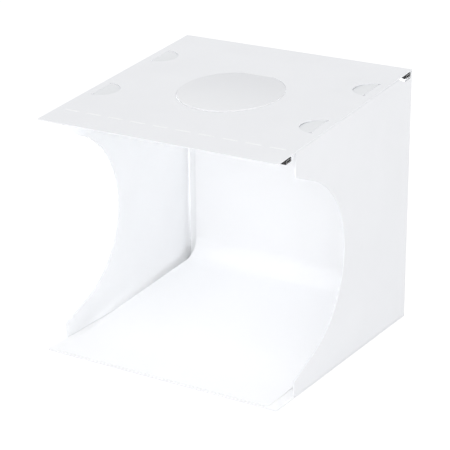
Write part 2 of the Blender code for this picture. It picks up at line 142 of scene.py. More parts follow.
# %% [markdown]
# ## Small helpers for working by hand
#
# Operators act on whatever is selected, and the frame arrives selected. So each step first takes hold of one
# object alone. In edit mode the faces are then picked by a test on their middle and normal, as one would
# box-select them on screen.

# %% Take hold of an object, pick faces, apply modifiers
def hold(obj):
    """Select one object alone and make it the active one."""
    bpy.ops.object.select_all(action="DESELECT")
    obj.select_set(True)
    bpy.context.view_layer.objects.active = obj
    return obj


def edit(obj, element="FACE", action="DESELECT"):
    """Go into edit mode on an object, with nothing selected unless the action says otherwise."""
    hold(obj)
    bpy.ops.object.mode_set(mode="EDIT")
    bpy.ops.mesh.select_mode(type=element)
    bpy.ops.mesh.select_all(action=action)


def pick(obj, test):
    """In edit mode, select the faces whose middle and normal pass a test."""
    shape = bmesh.from_edit_mesh(obj.data)
    for face in shape.faces:
        face.select_set(test(face.calc_center_median(), face.normal))
    shape.select_flush_mode()
    bmesh.update_edit_mesh(obj.data)


def extrude(along):
    """In edit mode, extrude what is selected along a vector."""
    bpy.ops.mesh.extrude_region_move(TRANSFORM_OT_translate={"value": along})


def done(face_out=False):
    """Leave edit mode, and turn all faces outwards before that if asked."""
    if face_out:
        bpy.ops.mesh.select_all(action="SELECT")
        bpy.ops.mesh.normals_make_consistent(inside=False)
    bpy.ops.object.mode_set(mode="OBJECT")


def thicken(obj, along):
    """Extrude the whole of a flat object along a vector."""
    edit(obj, action="SELECT")
    extrude(along)
    done(face_out=True)
    return obj


def apply_modifier(obj, kind, **settings):
    """Add a modifier with these settings and apply it."""
    hold(obj)
    modifier = obj.modifiers.new(kind.lower(), kind)
    for name, value in settings.items():
        setattr(modifier, name, value)
    bpy.ops.object.modifier_apply(modifier=modifier.name)


def settle_in(obj, matrix=None):
    """Bake an object's place, or one more matrix, into its mesh, so that the object sits at the origin."""
    if matrix:
        obj.matrix_world = matrix @ obj.matrix_world
    hold(obj)
    bpy.ops.object.transform_apply(location=True, rotation=True, scale=True)
    return obj


print("helpers ready")

# %% [markdown]
# ## Adding simple starting shapes
#
# Most small pieces start as a block between two corners. A piece with a shaped section starts as a filled
# ring, one vertex for each corner of the section, and is extruded along its length. Edges are rounded and
# faces inset before a piece is finished.

# %% A block and an extruded section
def block(name, low, high):
    """A cube primitive stretched between two corners."""
    low, high = Vector(low), Vector(high)
    return settle_in(added(name, bpy.ops.mesh.primitive_cube_add, size=1,
                           location=(low + high) / 2, scale=high - low))


def extruded(name, section, along):
    """A closed section, given as points in space, extruded along a vector."""
    obj = added(name, bpy.ops.mesh.primitive_circle_add, vertices=len(section), radius=1, fill_type="NGON")
    for vertex, point in zip(obj.data.vertices, section):
        vertex.co = point
    return thicken(obj, along)


def joined(name, pieces):
    """Several objects made into one."""
    hold(pieces[0])
    for piece in pieces[1:]:
        piece.select_set(True)
    bpy.ops.object.join()
    pieces[0].name = pieces[0].data.name = name
    return pieces[0]


def rounded(obj, width, segments=2, angle=30):
    """Round an object's edges that are sharper than an angle."""
    apply_modifier(obj, "BEVEL", width=width, segments=segments, limit_method="ANGLE",
                   angle_limit=math.radians(angle))
    return obj


def smooth(obj, angle):
    """Shade curved faces smooth and leave the flat ones flat."""
    hold(obj)
    bpy.ops.object.shade_smooth_by_angle(angle=math.radians(angle))
    return obj


def crisp(obj, angle=50):
    """Smooth the rounded edges and keep the large faces flat."""
    smooth(obj, angle)
    apply_modifier(obj, "WEIGHTED_NORMAL", keep_sharp=True)
    return obj


print("starting shapes ready")

# %% [markdown]
# ## Shared surface effects
#
# The sheet is frosted polypropylene. Close up it has a fine sandy grain and, over a hand's width, very faint
# cloudiness. Handling leaves thin pale marks. The mouldings have the same grain at another scale. An effect
# that several finishes share is a node group with named inputs, so each finish sets its own numbers. The
# groups put out only colours, masks and normals, and the shader stays in the material.

# %% Node helpers
def feed(tree, value, socket):
    """Link another node's output to a socket, or give the socket a plain value."""
    if isinstance(value, bpy.types.NodeSocket):
        tree.links.new(value, socket)
    else:
        socket.default_value = value


def fill(tree, made, **values):
    """Set a node's properties and, by socket name, feed its inputs."""
    for name, value in values.items():
        socket = made.inputs.get(name.replace("_", " "))
        if socket is None:
            setattr(made, name, value)
        else:
            feed(tree, value, socket)
    return made


def node(tree, kind, **values):
    """Add a node and fill it in."""
    return fill(tree, tree.nodes.new("ShaderNode" + kind), **values)


def object_place(tree):
    return node(tree, "TexCoord").outputs["Object"]


def noise(tree, where, scale, detail=2.0):
    return node(tree, "TexNoise", Vector=where, Scale=scale, Detail=detail).outputs["Fac"]


def remap(tree, value, low, high, to_low=0.0, to_high=1.0):
    """Map a value from one range to another, clamped at both ends."""
    made = node(tree, "MapRange", Value=value, From_Min=low, From_Max=high, To_Min=to_low, To_Max=to_high)
    return made.outputs["Result"]


def maths(tree, operation, *values):
    made = node(tree, "Math", operation=operation)
    for value, socket in zip(values, made.inputs):
        feed(tree, value, socket)
    return made.outputs["Value"]


def stretched(tree, where, by):
    """Coordinates multiplied by a vector."""
    made = node(tree, "VectorMath", operation="MULTIPLY", Vector=where)
    feed(tree, by, made.inputs[1])
    return made.outputs["Vector"]


def mixed(tree, mask, *colours):
    """Two colours mixed by a mask."""
    made = node(tree, "Mix", data_type="RGBA", Factor=mask)
    for colour, index in zip(colours, (6, 7)):
        feed(tree, colour, made.inputs[index])
    return made.outputs[2]


def new_group(name, inputs, outputs):
    """A shader node group with named sockets, what its inputs give, and its output node."""
    tree = bpy.data.node_groups.new(name, "ShaderNodeTree")
    for label, value in inputs.items():
        kind = "Float" if isinstance(value, float) else "Color"
        socket = tree.interface.new_socket(label, in_out="INPUT", socket_type="NodeSocket" + kind)
        socket.default_value = value
    for label, kind in outputs.items():
        tree.interface.new_socket(label, in_out="OUTPUT", socket_type="NodeSocket" + kind)
    return tree, tree.nodes.new("NodeGroupInput").outputs, tree.nodes.new("NodeGroupOutput")


print("node helpers ready")

# %% The grain of frosted sheet and moulded plastic
NOISE_RANGE = 0.3, 0.7
SAND_UNEVEN = 0.04


def grained(tree, height, roughness, uneven, depth):
    """The uneven roughness and the normal that one grain gives a surface."""
    change = remap(tree, height, *NOISE_RANGE, -uneven, uneven)
    bump = node(tree, "Bump", Strength=1.0, Height=height, Distance=depth)
    return {"Roughness": maths(tree, "ADD", roughness, change), "Normal": bump.outputs["Normal"]}


def make_grain_group():
    tree, given, out = new_group(
        "frosted grain",
        {"Colour": (0.8, 0.8, 0.8, 1), "Cloud Size": 20.0, "Cloudiness": 0.02, "Grain Size": 2500.0,
         "Grain Depth": 0.00002, "Roughness": 0.45},
        {"Colour": "Color", "Roughness": "Float", "Normal": "Vector"})
    where = object_place(tree)
    darker = maths(tree, "SUBTRACT", 1.0, given["Cloudiness"])
    tone = remap(tree, noise(tree, where, given["Cloud Size"], detail=3.0), *NOISE_RANGE, darker, 1.0)
    clouded = node(tree, "VectorMath", operation="SCALE", Vector=given["Colour"], Scale=tone)
    sand = noise(tree, where, given["Grain Size"])
    fill(tree, out, Colour=clouded.outputs["Vector"],
         **grained(tree, sand, given["Roughness"], SAND_UNEVEN, given["Grain Depth"]))
    return tree


GRAIN = make_grain_group()
print("group:", GRAIN.name)

# %% The thin pale marks that handling leaves
STREAK_TURNS = (0.5, 420.0), (-0.9, 300.0)
STREAK_BAND = 0.70, 0.76
PATCH_SCALE = 14.0
PATCH_BAND = 0.45, 0.65


def make_handling_group():
    tree, given, out = new_group("handling marks", {"Density": 0.5, "Length": 0.05}, {"Mask": "Float"})
    where = object_place(tree)
    drawn_long = node(tree, "CombineXYZ", X=1.0, Y=1.0, Z=given["Length"]).outputs["Vector"]
    masks = []
    for turn_by, scale in STREAK_TURNS:
        turned = node(tree, "Mapping", Vector=where, Rotation=(turn_by, turn_by / 2, turn_by))
        streak = noise(tree, stretched(tree, turned.outputs["Vector"], drawn_long), scale, detail=1.0)
        masks.append(remap(tree, streak, *STREAK_BAND))
    patch = remap(tree, noise(tree, where, PATCH_SCALE), *PATCH_BAND)
    marks = maths(tree, "MULTIPLY", maths(tree, "MAXIMUM", *masks), patch)
    fill(tree, out, Mask=maths(tree, "MULTIPLY", marks, given["Density"]))
    return tree


HANDLING = make_handling_group()
print("group:", HANDLING.name)

# %% [markdown]
# ## The finishes of the plastic sheet
#
# One roll of sheet makes the whole box. Its outer face is a soft grey white, and its inner face is coated as
# white as can be, because it has to throw the light back. A cut edge is a touch paler than the outer face,
# because it has no skin and scatters more light, and a crease turns white where the plastic was stretched.
# The tongues and the window's lid are a touch greyer, which is painted shade: the tongues sit in shade
# against the flanges, and the lid is painted darkest towards its hinge.

# %% Finishes for sheet, cut edges and creases
MARKS_PALER = 1.05


def new_finish(name, **sockets):
    """A material with its Principled shader, some of whose sockets are set."""
    made = bpy.data.materials.new(name)
    made.use_nodes = True
    tree = made.node_tree
    return made, tree, fill(tree, tree.nodes["Principled BSDF"], **sockets)


def plastic(name, colour, roughness, cloud=(20.0, 0.02), grain=(2500.0, 0.00002), marks=0.0, **sockets):
    """Grained plastic: its colour, gloss, cloudiness, grain and handling marks."""
    made, tree, shader = new_finish(name, **sockets)
    group = node(tree, "Group", label="grain", node_tree=GRAIN, Colour=(*colour, 1), Roughness=roughness,
                 Cloud_Size=cloud[0], Cloudiness=cloud[1], Grain_Size=grain[0], Grain_Depth=grain[1])
    colour_out = group.outputs["Colour"]
    if marks:
        mask = node(tree, "Group", node_tree=HANDLING, Density=marks).outputs["Mask"]
        pale = [min(1.0, c * MARKS_PALER) for c in colour]
        colour_out = mixed(tree, mask, colour_out, (*pale, 1))
    fill(tree, shader, Base_Color=colour_out, Roughness=group.outputs["Roughness"],
         Normal=group.outputs["Normal"])
    return made


WHITE_SHEET = plastic("white_sheet", (0.87, 0.88, 0.905), 0.5, marks=0.35)
INNER_SHEET = plastic("inner_white", (0.915, 0.925, 0.94), 0.6, marks=0.2)
BASE_WHITE = plastic("base_white", (0.955, 0.96, 0.97), 0.6, marks=0.2)
CUT_EDGE = plastic("cut_edge", (0.89, 0.9, 0.925), 0.6, grain=(4000.0, 0.00003))
CREASE = plastic("crease_white", (0.96, 0.965, 0.975), 0.55, cloud=(300.0, 0.04), grain=(3000.0, 0.00003))
# Painted shade: the tongues' finish is greyer than the sheet, standing for the shade they sit in.
SHADED_TONGUE_SHEET = plastic("shaded_tongue_sheet", (0.815, 0.83, 0.85), 0.5, marks=0.35)
# Painted shade: the lid's finish is greyer than the sheet and is painted darker still towards its hinge.
SHADED_LID_SHEET = plastic("shaded_window_lid_sheet", (0.86, 0.87, 0.89), 0.5, cloud=(9.0, 0.02), marks=0.3)
print("sheet finishes:", WHITE_SHEET.name, INNER_SHEET.name, CUT_EDGE.name, CREASE.name, SHADED_TONGUE_SHEET.name)

# %% Painted shade across the lid, darker towards its hinge
# Painted shade: the lid's colour runs from its own grey at the front to this darker grey at the hinge.
LID_SHADE_GREY = (0.775, 0.785, 0.81, 1)
LID_UNSHADED_AT, LID_SHADED_AT = -40 * MM, 45 * MM


def shade_lid():
    """Paint shade into the lid's finish: greyer towards the hinge, along the roof."""
    tree = SHADED_LID_SHEET.node_tree
    place = node(tree, "SeparateXYZ", Vector=object_place(tree))
    share = remap(tree, place.outputs["Y"], LID_UNSHADED_AT, LID_SHADED_AT)
    grain = next(n for n in tree.nodes if n.label == "grain")
    fill(tree, grain, Colour=mixed(tree, share, grain.inputs["Colour"].default_value[:], LID_SHADE_GREY))


shade_lid()
print("lid fades to", LID_SHADE_GREY[:3])

# %% [markdown]
# ## The sheets of the box
#
# Each panel is stamped from flat sheet, which leaves a crisp outline and slightly rounded rims. The solids
# already hold the outlines, so each one is copied. The copy's loose triangles are merged into whole faces,
# its rims are rounded, and its outer face, inner face and rims get their own finishes. Where a crease will
# go, a margin of the sheet is cut away, and the creased strip that is made later fills it.

# %% Copy a node and clean its mesh
MERGE = 0.001 * MM
FLAT_ANGLE = math.radians(0.5)
RIM = 0.2 * MM
RIM_FACING = 0.6


def copy_of(node_name, name):
    """A new object with a merged copy of a node's mesh."""
    mesh = frame["nodes"][node_name].data.copy()
    mesh.materials.clear()
    mesh.name = name
    obj = bpy.data.objects.new(name, mesh)
    bpy.context.scene.collection.objects.link(obj)
    hold(obj)
    bpy.ops.mesh.customdata_custom_splitnormals_clear()
    edit(obj, action="SELECT")
    bpy.ops.mesh.remove_doubles(threshold=MERGE)
    bpy.ops.mesh.dissolve_limited(angle_limit=FLAT_ANGLE)
    done()
    return obj


def trim(obj, point, keep_toward):
    """Cut an object along a plane and keep the side that a direction points to."""
    edit(obj, action="SELECT")
    bpy.ops.mesh.bisect(plane_co=point, plane_no=keep_toward, use_fill=True, clear_inner=True)
    done(face_out=True)
    return obj


def cut_with(obj, tool):
    """Take a tool's shape out of an object and remove the tool."""
    apply_modifier(obj, "BOOLEAN", object=tool, operation="DIFFERENCE", solver="EXACT")
    bpy.data.objects.remove(tool)
    return obj


def painted(obj, *finishes):
    """Give an object these materials and no others."""
    obj.data.materials.clear()
    for finish in finishes:
        obj.data.materials.append(finish)
    return obj


def three_finishes(obj, outward, face=WHITE_SHEET, back_face=INNER_SHEET, rim=CUT_EDGE):
    """Give the outer face, the inner face and the rims their own materials."""
    painted(obj, face, back_face, rim)
    for polygon in obj.data.polygons:
        facing = polygon.normal.dot(outward)
        polygon.material_index = 0 if facing > RIM_FACING else 1 if facing < -RIM_FACING else 2


def hand_over(obj, body, slot, *nodes):
    """Let a finished piece ride on its body and stand for its nodes."""
    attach(obj, body)
    if nodes:
        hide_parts(*nodes)


def sheet_done(obj, outward, body, node_name, **finishes):
    """Finish a sheet on all sides and hand it over."""
    three_finishes(obj, outward, **finishes)
    hand_over(crisp(obj), body, "white_sheet", node_name)


print("sheet helpers ready")

# %% [markdown]
# ## Where the creases run
#
# A crease between two square panels is an L-shaped strip, whose two legs take over where the panels stop.
# The outside of the corner is rounded by the bend, and the inside has the narrow V that the creasing rule
# pressed, which leaves a thin web to bend. A crease is described here by its outside corner, the two
# directions that its legs run in, and its length.

# %% Describe each square crease once
LEG = 3 * MM
X, Y, Z = Vector((1, 0, 0)), Vector((0, 1, 0)), Vector((0, 0, 1))
ROOF_X, ROOF_Y, ROOF_Z = (ROOF.to_3x3() @ axis for axis in (X, Y, Z))


def local_box(node_name, matrix):
    """A node's lowest and highest corners in a frame of its own."""
    inverse = matrix.inverted()
    points = [inverse @ vertex.co for vertex in frame["nodes"][node_name].data.vertices]
    return (Vector(min(p[i] for p in points) for i in range(3)),
            Vector(max(p[i] for p in points) for i in range(3)))


def square_crease(corner, first, second, along, *bodies):
    return {"corner": Vector(corner), "first": first, "second": second, "along": along, "bodies": bodies}


WIDE = X * (RIGHT - LEFT)
CREASES = {
    "back_crease": square_crease((LEFT, REAR, 0), -Y, Z, WIDE, "base", "back"),
    "roof_crease": square_crease((LEFT, REAR, ROOF_CREASE.z), -Z, -ROOF_Y, WIDE, "back", "roof"),
}
for name, side in SIDES.items():
    upward = Z * (ROOF_CREASE.z - 2 * LEG)
    CREASES[f"{name}_side_crease"] = square_crease(
        (side * RIGHT, REAR, LEG), -side * X, -Y, upward, "back", f"{name}_side")
print("square creases:", ", ".join(CREASES))

# %% The base and the back
def trimmed_at(obj, crease, leg):
    """Cut a sheet back to the end of one leg of a crease."""
    direction = CREASES[crease][leg]
    return trim(obj, CREASES[crease]["corner"] + direction * LEG, direction)


base = rounded(copy_of("base_panel", "base_sheet"), RIM)
trimmed_at(base, "back_crease", "first")
sheet_done(base, -Z, "base", "base_panel", back_face=BASE_WHITE)

back = rounded(copy_of("back_panel", "back_sheet"), RIM)
trimmed_at(back, "back_crease", "second")
trimmed_at(back, "roof_crease", "first")
for name in SIDES:
    trimmed_at(back, f"{name}_side_crease", "first")
sheet_done(back, Y, "back", "back_panel")
print("base and back:", len(base.data.polygons), "and", len(back.data.polygons), "faces")

# %% [markdown]
# ## The side walls and their folded-in tops
#
# A side wall and the flange along its top are one sheet on the real tent. The fold between them runs only
# as far as the flange does, so the wall loses a shallow step there, and the crease to the back wall stops
# short of the base and the roof. Both margins are cut with blocks, which are made, used once and thrown
# away.

# %% The side walls, with a step for the flange's fold
FLANGE_BOX = {name: local_box(f"{name}_top_flange", ROOF) for name in SIDES}
for name, side in SIDES.items():
    low, high = FLANGE_BOX[name]
    hinge = on_roof(f"{name}_flange_fold")
    lean = math.atan2(hinge.z - low.z, (high - low).x)
    inward = (ROOF_X * -side * math.cos(lean) - ROOF_Z * math.sin(lean)).normalized()
    upright = (X * -side * math.sin(lean) + Z * math.cos(lean)).normalized()
    on_top = hinge + upright * SHEET
    reach = abs(side * RIGHT - on_top.x)
    corner = ROOF @ Vector((side * RIGHT, low.y, on_top.z + reach * math.tan(lean)))
    CREASES[f"{name}_top_crease"] = square_crease(
        corner, -ROOF_Z, inward, ROOF_Y * (high.y - low.y), f"{name}_side", f"{name}_flange")
    print(f"{name} flange droops {math.degrees(lean):.2f} degrees from the roof")

for name, side in SIDES.items():
    wall = rounded(copy_of(f"{name}_side_panel", f"{name}_side_sheet"), RIM)
    near, far = sorted((side * (RIGHT + SHEET), side * (RIGHT - 2 * SHEET)))
    cut_with(wall, block("crease_tool", (near, REAR - LEG, LEG), (far, REAR, ROOF_CREASE.z - LEG)))
    low, high = FLANGE_BOX[name]
    top_fold = CREASES[f"{name}_top_crease"]
    step = (ROOF.inverted() @ (top_fold["corner"] + top_fold["first"] * LEG)).z
    cut_with(wall, settle_in(block("step_tool", (near, low.y, step), (far, high.y, SHEET)), ROOF))
    sheet_done(wall, side * X, f"{name}_side", f"{name}_side_panel")

    flange = rounded(copy_of(f"{name}_top_flange", f"{name}_flange_sheet"), RIM)
    trimmed_at(flange, f"{name}_top_crease", "second")
    sheet_done(flange, ROOF_Z, f"{name}_flange", f"{name}_top_flange")
    print(f"{name} wall and flange:", len(wall.data.polygons), "and", len(flange.data.polygons), "faces")

# %% [markdown]
# ## The roof, its front flap and its lock tabs
#
# The roof is one sheet with four curved cuts, whose tongues push down through the flanges and lock the
# walls. Such a cut ends in a small round hole, so that the sheet doesn't tear further. The holes go through
# the roof and the tongue alike, so one round tool serves both. A die cut has next to no width, so each
# tongue is drawn out a little until it nearly fills its opening.

# %% The roof and the flap, trimmed at the dashed crease
FLAP_LINE = on_roof("flap_fold").y
STRIP_HALF = 1.6 * MM
RELIEF_RADIUS = 1.2 * MM
RELIEF_SIDES = 20
TABS = {f"{side}_{end}": f"{side}_{end}_lock_tab" for side in SIDES for end in ("front", "rear")}


def relief_tool(tab):
    """Two round punches at the ends of a lock tab's cut."""
    low, high = local_box(TABS[tab], ROOF)
    pins = [added("relief_pin", bpy.ops.mesh.primitive_cylinder_add, vertices=RELIEF_SIDES,
                  radius=RELIEF_RADIUS, depth=6 * SHEET, location=(on_roof(f"{tab}_tab_flex").x, y, 0))
            for y in (low.y, high.y)]
    return settle_in(joined("relief_tool", [settle_in(pin) for pin in pins]), ROOF)


roof = copy_of("roof_panel", "roof_sheet")
for tab in TABS:
    cut_with(roof, relief_tool(tab))
rounded(roof, RIM)
trim(roof, ROOF @ Vector((0, FLAP_LINE + STRIP_HALF, 0)), ROOF_Y)
trimmed_at(roof, "roof_crease", "second")
sheet_done(roof, ROOF_Z, "roof", "roof_panel")

flap = rounded(copy_of("front_flap", "flap_sheet"), RIM)
trim(flap, ROOF @ Vector((0, FLAP_LINE - STRIP_HALF, 0)), -ROOF_Y)
sheet_done(flap, ROOF_Z, "flap", "front_flap")
print("roof and flap:", len(roof.data.polygons), "and", len(flap.data.polygons), "faces")

# %% The lock tabs and the window's lid
LID_RIM = 0.3 * MM
TONGUE_GROWTH = 1.029
for tab, node_name in TABS.items():
    low, high = local_box(node_name, ROOF)
    at_hinge = ROOF @ Matrix.Translation((on_roof(f"{tab}_tab_flex").x, (low.y + high.y) / 2, 0))
    tongue = copy_of(node_name, f"{tab}_tab_sheet")
    for matrix in (at_hinge.inverted(), Matrix.Diagonal((TONGUE_GROWTH, TONGUE_GROWTH, 1, 1)), at_hinge):
        settle_in(tongue, matrix)
    rounded(cut_with(tongue, relief_tool(tab)), RIM)
    # The tongue's greyer finish is painted shade.
    sheet_done(tongue, ROOF_Z, f"{tab}_tab", node_name, face=SHADED_TONGUE_SHEET)

lid = rounded(copy_of("window_cover", "window_lid"), LID_RIM)
# The lid's greyer finish is painted shade.
sheet_done(lid, ROOF_Z, "cover", "window_cover", face=SHADED_LID_SHEET, rim=CREASE)
print("lid:", len(lid.data.polygons), "faces")

# %% [markdown]
# ## The square creases
#
# Each strip starts as a filled ring with one vertex per corner of its section. A quadratic curve rounds the
# outside. On the inside, the two faces close on each other when the tent stands, so the V is only a fine
# slit. Extruding the ring along the crease makes the strip.

# %% Make the strips
CREASE_ROUND = 0.9 * MM
CREASE_STEPS = 6
WEB = 0.4 * MM
NOTCH_REACH = 0.08 * MM


def crease_section(first, second):
    """An L-shaped section, corner at the origin, with its legs along two directions."""
    spread = first.angle(second)
    first_in = (second - first * second.dot(first)).normalized() * SHEET
    second_in = (first - second * first.dot(second)).normalized() * SHEET
    shares = [i / CREASE_STEPS for i in range(CREASE_STEPS + 1)]
    outside = [(first * (1 - s) ** 2 + second * s ** 2) * CREASE_ROUND for s in shares]
    notch = outside[CREASE_STEPS // 2] + (first + second).normalized() * WEB
    foot = SHEET / math.sin(spread) * (math.cos(spread) + 1) + NOTCH_REACH
    return [first * LEG, *outside, second * LEG, second * LEG + second_in, second * foot + second_in,
            notch, first * foot + first_in, first * LEG + first_in]


for name, crease in CREASES.items():
    corner, first, second = crease["corner"], crease["first"], crease["second"]
    section = [corner + point for point in crease_section(first, second)]
    strip = extruded(name, section, crease["along"])
    three_finishes(strip, -(first + second).normalized())
    crisp(strip, 40)
    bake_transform(strip)
print("strips:", ", ".join(CREASES))

# %% [markdown]
# ## The dashed crease of the flap
#
# The roof and its flap are one sheet, pressed with a dashed rule: dashes about 15 mm long that start every
# 23 mm. The strip between them is a grid whose rows follow the crease and whose columns end at the dashes.
# Each dash is pressed into the top as a shallow valley with a low lip on both sides, and its floor has
# turned white. Extruding the whole grid down gives the sheet its thickness.

# %% Press the dashes into a grid
DASH = 15 * MM
DASH_PITCH = 23 * MM
DASH_DEPTH = 0.35 * MM
DASH_LIP = 0.14 * MM
DASH_ROWS = [-1.6, -1.35, -1.1, -0.85, -0.55, -0.2, 0, 0.2, 0.55, 0.85, 1.1, 1.35, 1.6]
DASH_HEIGHTS = [0, 0, 0.6, 1, 0.4, -0.8, -1, -0.8, 0.4, 1, 0.6, 0, 0]
DASH_END = 0.5 * MM
WHITENED_HALF = 0.9 * MM
WHITENED_SLOT = 3

count = round((RIGHT - LEFT) / DASH_PITCH)
first_dash = -(count - 1) / 2 * DASH_PITCH
columns = [LEFT]
for i in range(count):
    start, end = (first_dash + i * DASH_PITCH + DASH * half for half in (-0.5, 0.5))
    columns += [start, start + DASH_END, end - DASH_END, end]
columns.append(RIGHT)

flap_crease = added("flap_crease", bpy.ops.mesh.primitive_grid_add, size=2,
                    x_subdivisions=len(columns) - 1, y_subdivisions=len(DASH_ROWS) - 1)
for vertex in flap_crease.data.vertices:
    column = round((vertex.co.x + 1) / 2 * (len(columns) - 1))
    row = round((vertex.co.y + 1) / 2 * (len(DASH_ROWS) - 1))
    in_dash = 0 < column < len(columns) - 1 and (column - 1) % 4 in (1, 2)
    height = DASH_HEIGHTS[row] * (DASH_LIP if DASH_HEIGHTS[row] > 0 else DASH_DEPTH)
    vertex.co = (columns[column], FLAP_LINE + DASH_ROWS[row] * MM, height if in_dash else 0)
thicken(flap_crease, (0, 0, -SHEET))
for vertex in flap_crease.data.vertices:
    if vertex.co.z < -SHEET / 2:
        vertex.co.z = -SHEET
settle_in(flap_crease, ROOF)
three_finishes(flap_crease, ROOF_Z)
flap_crease.data.materials.append(CREASE)
for polygon in flap_crease.data.polygons:
    place = ROOF.inverted() @ polygon.center
    near_line = abs(place.y - FLAP_LINE) < WHITENED_HALF and place.z > -SHEET / 2
    from_dash = abs((place.x - first_dash + DASH_PITCH / 2) % DASH_PITCH - DASH_PITCH / 2)
    if near_line and from_dash < DASH / 2:
        polygon.material_index = WHITENED_SLOT
crisp(flap_crease, 60)
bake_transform(flap_crease)
print("dashes:", count)

# %% [markdown]
# ## The short hinges of the lid and the tabs
#
# These are score lines, too: the knife goes most of the way through the sheet and leaves a thin web. The web
# lies in the narrow gap on the hinge's axis, so the groove between the rounded rims stays visible as a fine
# line.

# %% Thin webs on the hinge lines
WEB_BITE = 0.12 * MM
WEB_ROWS = 4
WEB_GAP = 0.3 * MM
LID_WEB_TOP = -0.05 * MM
low, high = local_box("window_cover", ROOF)
hinge = on_roof("cover_fold")
radius = (high.x - low.x) / 2
chord = math.sqrt(radius ** 2 - (hinge.y - (low.y + radius)) ** 2)
HINGE_WEBS = {"lid_hinge": (hinge, X, -Y, chord - RIM, LID_WEB_TOP, "cover")}
for tab, node_name in TABS.items():
    low, high = local_box(node_name, ROOF)
    hinge = on_roof(f"{tab}_tab_flex")
    toward = X if (low.x + high.x) / 2 > hinge.x else -X
    half = (high.y - low.y) / 2 - RELIEF_RADIUS - RIM
    HINGE_WEBS[f"{tab}_tab_hinge"] = (hinge, Y, toward, half, hinge.z + WEB / 2, f"{tab}_tab")

for name, (hinge, along, toward, half, top, body) in HINGE_WEBS.items():
    web = added(name, bpy.ops.mesh.primitive_grid_add, x_subdivisions=1, y_subdivisions=WEB_ROWS, size=2)
    line = Vector((hinge.x, hinge.y, top))
    for vertex in web.data.vertices:
        across = -WEB_BITE + (vertex.co.y + 1) / 2 * (WEB_GAP + 2 * WEB_BITE)
        vertex.co = line + along * vertex.co.x * half + toward * across
    thicken(web, (0, 0, -WEB))
    crisp(painted(settle_in(web, ROOF), CREASE), 40)
    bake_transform(web)
    print(f"{name}: {2 * half / MM:.1f} mm long")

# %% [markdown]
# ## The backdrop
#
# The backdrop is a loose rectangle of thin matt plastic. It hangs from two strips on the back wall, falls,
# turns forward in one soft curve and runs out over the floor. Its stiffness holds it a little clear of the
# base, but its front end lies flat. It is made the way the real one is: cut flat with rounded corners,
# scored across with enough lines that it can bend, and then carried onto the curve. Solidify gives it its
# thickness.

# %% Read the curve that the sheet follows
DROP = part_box("backdrop_sheet")
DROP_WIDTH = DROP[1].x - DROP[0].x
DROP_SHEET = 0.6 * MM
DROP_BEND = 20 * MM
DROP_SLOPE = math.radians(4)
DROP_SIN, DROP_COS = math.sin(DROP_SLOPE), math.cos(DROP_SLOPE)
FALL_Y = DROP[1].y - DROP_SHEET / 2
TIP = Vector((0, DROP[0].y + DROP_SHEET / 2 * DROP_SIN, DROP[0].z + DROP_SHEET / 2 * DROP_COS))
tangent = DROP_BEND * math.tan((math.pi / 2 - DROP_SLOPE) / 2)
CENTRE = Vector((0, FALL_Y - DROP_BEND, TIP.z + (FALL_Y - TIP.y) * math.tan(DROP_SLOPE) + tangent))
FLOOR_RUN = (FALL_Y - TIP.y) / DROP_COS - tangent
BEND_RUN = DROP_BEND * (math.pi / 2 - DROP_SLOPE)
DROP_LENGTH = FLOOR_RUN + BEND_RUN + DROP[1].z - CENTRE.z
LAID_RUN, JOINED_RUN = 30 * MM, 90 * MM
LAID_SINK = 0.22 * MM
print(f"backdrop cut: {DROP_WIDTH / MM:.0f} by {DROP_LENGTH / MM:.1f} mm")


def rise(s):
    """How far the floor run has risen: none where it lies flat, then smoothly up to the even slope."""
    t = min(max((s - LAID_RUN) / (JOINED_RUN - LAID_RUN), 0), 1)
    if t == 1:
        return s * DROP_SIN
    lifted = t * t * (3 - 2 * t)
    late = (JOINED_RUN - LAID_RUN) * t * t * (1 - t)
    return (JOINED_RUN * lifted - late) * DROP_SIN - LAID_SINK * (1 - lifted)


def on_curve(x, s):
    """Where a point of the flat sheet goes, s along it from the front edge."""
    if s < FLOOR_RUN:
        return Vector((x, TIP.y + s * DROP_COS, TIP.z + rise(s)))
    if s < FLOOR_RUN + BEND_RUN:
        angle = DROP_SLOPE - math.pi / 2 + (s - FLOOR_RUN) / DROP_BEND
        return CENTRE + Vector((x, DROP_BEND * math.cos(angle), DROP_BEND * math.sin(angle)))
    return Vector((x, FALL_Y, CENTRE.z + s - FLOOR_RUN - BEND_RUN))


# %% Cut it flat, score it and carry it onto the curve
DROP_CORNER = 3 * MM
CORNER_STEPS = 5
DROP_RIM = 0.12 * MM
CURVED_RUN = FLOOR_RUN + BEND_RUN
DENSE_RUN = 40 * MM
STOPS = [LAID_RUN, JOINED_RUN, FLOOR_RUN, CURVED_RUN, CURVED_RUN + DENSE_RUN, DROP_LENGTH]
SCORE_COUNTS = [12, 7, 18, 10, 6]

backdrop = added("backdrop", bpy.ops.mesh.primitive_plane_add, size=1, location=(0, DROP_LENGTH / 2, 0))
backdrop.scale = (DROP_WIDTH, DROP_LENGTH, 1)
edit(settle_in(backdrop), "VERT", "SELECT")
bpy.ops.mesh.bevel(offset=DROP_CORNER, segments=CORNER_STEPS, affect="VERTICES")
for low, high, count in zip(STOPS, STOPS[1:], SCORE_COUNTS):
    for i in range(count):
        bpy.ops.mesh.select_all(action="SELECT")
        bpy.ops.mesh.bisect(plane_co=(0, low + (high - low) * i / count, 0), plane_no=Y)
done()
for vertex in backdrop.data.vertices:
    vertex.co = on_curve(vertex.co.x, vertex.co.y)
apply_modifier(backdrop, "SOLIDIFY", thickness=DROP_SHEET, offset=0)
edit(backdrop)
done(face_out=True)
rounded(backdrop, DROP_RIM, angle=45)
print("backdrop:", len(backdrop.data.polygons), "faces")
